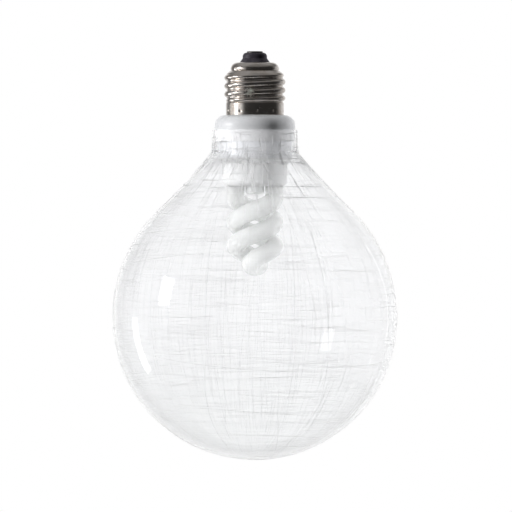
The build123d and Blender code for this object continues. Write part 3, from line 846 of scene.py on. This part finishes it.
# Studio room: plain white to the camera and through the glass. As light it is dim walls, darker on
# the front right, with a paler back and ceiling that show mostly in reflections. What lies inside
# the glass gets an even share of its own.
wall_light = 0.16
dark_wall_light = 0.03
dark_side = (0.454, -0.891, 0.0)
dark_edges = (0.15, 0.35)
back_light = 0.25
back_gloss = 0.75
back_edges = (0.75, 0.95)
ceiling_light = 0.06
ceiling_gloss = 0.12
ceiling_edges = (0.50, 0.75)
inside_share = 0.34
least_flat = 0.02
world = bpy.data.worlds.new("studio")
bpy.context.scene.world = world
world.use_nodes = True
world.node_tree.nodes.clear()
look = Signal(world.node_tree)
direction = look.node("ShaderNodeTexCoord", output="Generated")
direction_up = direction.axis("Z")
facing = look.node(
    "ShaderNodeVectorMath",
    {"operation": "DOT_PRODUCT"},
    {"Vector": direction, "Vector_001": dark_side},
    "Value",
)
flat_part = look.math("SQRT", look.math("MAXIMUM", 1 - direction_up**2, least_flat))
walls = stepped(look, facing / flat_part, *dark_edges, wall_light, dark_wall_light)
is_glossy = ray(look, "Is Glossy Ray")
back = stepped(look, direction.axis("Y"), *back_edges)
behind = back * (back_light + back_gloss * is_glossy)
ceiling = stepped(look, direction_up, *ceiling_edges)
overhead = ceiling * (ceiling_light + ceiling_gloss * is_glossy)
studio_light = walls + (1.0 - walls) * behind + overhead
is_camera = ray(look, "Is Camera Ray")
is_through = ray(look, "Is Transmission Ray")
after_glass = look.math("GREATER_THAN", ray(look, "Transmission Depth"), first_bounce)
after_diffuse = look.math("GREATER_THAN", ray(look, "Diffuse Depth"), first_bounce)
seen_through = after_glass * (1 - after_diffuse)
inside_light = inside_share * after_glass * after_diffuse
lit_strength = studio_light * (1 - is_through * after_diffuse) + inside_light
behind_glass = lit_strength + seen_through * (1 - lit_strength)
strength = behind_glass + is_camera * (1 - behind_glass)
sky = look.node("ShaderNodeBackground", {}, {"Color": pure_white, "Strength": strength})
look.node("ShaderNodeOutputWorld", {}, {"Surface": sky})


# Studio lamps: a window on the left, strips and dim walls that show only in gloss, and fills that
# light only what is dull. The window's reflection off the globe's back wall has a lamp of its own.
# A soft spot from the front lights the middle of the globe.
globe_centre = Vector((0, 0, equator_z))
lamp_distance = 1.5
back_wall_depth = 2.5

# Each lamp: azimuth and elevation in degrees, width and height in m, radiance, and what sees it.
lamp_kinds = {
    "window": (-79.3, 15.2, 0.34, 0.44, 12.0, "glossy"),
    "window_inside": (-66.5, 16.0, 0.25, 0.42, 4.0, "inside"),
    "low_strip": (-112.5, -13.5, 0.20, 0.64, 7.0, "glossy"),
    "right_strip": (135.5, 7.8, 0.07, 0.80, 1.0, "glossy"),
    "left_wall": (-83.0, 0.0, 1.9, 1.3, 0.6, "glossy"),
    "right_wall": (132.0, 0.0, 1.0, 1.3, 0.35, "glossy"),
    "left_fill": (-63.0, 12.0, 0.25, 0.80, 30.8, "diffuse"),
    "right_fill": (116.0, 10.0, 0.25, 0.80, 28.0, "diffuse"),
    "back_fill": (180.0, 5.0, 1.2, 1.2, 0.5, "diffuse"),
    "top_fill": (180.0, 75.0, 1.0, 1.0, 1.5, "diffuse"),
}
for name, (azimuth, elevation, width, tall, radiance, seen_by) in lamp_kinds.items():
    lamp = bpy.data.lights.new(name, "AREA")
    lamp.shape = "RECTANGLE"
    lamp.size = width
    lamp.size_y = tall
    lamp.energy = radiance * pi * width * tall
    level = cos(radians(elevation))
    towards = Vector(
        (sin(radians(azimuth)) * level, -cos(radians(azimuth)) * level, sin(radians(elevation)))
    )
    source = new_object(name, lamp)
    source.location = globe_centre + towards * lamp_distance
    source.rotation_euler = (-towards).to_track_quat("-Z", "Y").to_euler()
    source.visible_camera = False
    source.visible_transmission = seen_by == "inside"
    source.visible_glossy = seen_by == "glossy"
    source.visible_diffuse = seen_by == "diffuse"

window_inside = bpy.data.lights["window_inside"]
window_inside.use_nodes = True
window_inside.node_tree.nodes.clear()
look = Signal(window_inside.node_tree)
off_back_wall = look.math("GREATER_THAN", ray(look, "Transmission Depth"), back_wall_depth)
glow = look.node("ShaderNodeEmission", {}, {"Color": pure_white, "Strength": off_back_wall})
look.node("ShaderNodeOutputLight", {}, {"Surface": glow})

spot_place = Vector((0.25, -1.15, equator_z - 0.1))
spot_target = Vector((0, 0, equator_z - 3 * mm))
front_lamp = bpy.data.lights.new("front_spot", "SPOT")
front_lamp.energy = 16.0
front_lamp.spot_size = radians(7.0)
front_lamp.spot_blend = 0.25
front_lamp.shadow_soft_size = 0.02
front_spot = new_object("front_spot", front_lamp)
front_spot.location = spot_place
front_spot.rotation_euler = (spot_target - spot_place).to_track_quat("-Z", "Y").to_euler()
front_spot.visible_camera = False
front_spot.visible_transmission = False
front_spot.visible_glossy = False


# Camera: level with the middle of the lamp and far back, for a photograph with little perspective.
# Light may cross the glass and the lines on it many times, so that few paths through them end black.
frame_width = 224.6 * mm
camera_distance = 5.0
camera_x = 0.5 * mm
camera_z = -89.8 * mm
light_bounces = 32
camera_data = bpy.data.cameras.new("camera")
camera_data.sensor_width = 36.0
camera_data.lens = camera_data.sensor_width * camera_distance / frame_width
camera = new_object("camera", camera_data)
camera.location = (camera_x, -camera_distance, camera_z)
camera.rotation_euler = (pi / 2, 0, 0)
bpy.context.scene.camera = camera
bpy.context.scene.view_settings.view_transform = "Standard"
bpy.context.scene.cycles.max_bounces = light_bounces
bpy.context.scene.cycles.glossy_bounces = light_bounces
bpy.context.scene.cycles.transmission_bounces = light_bounces
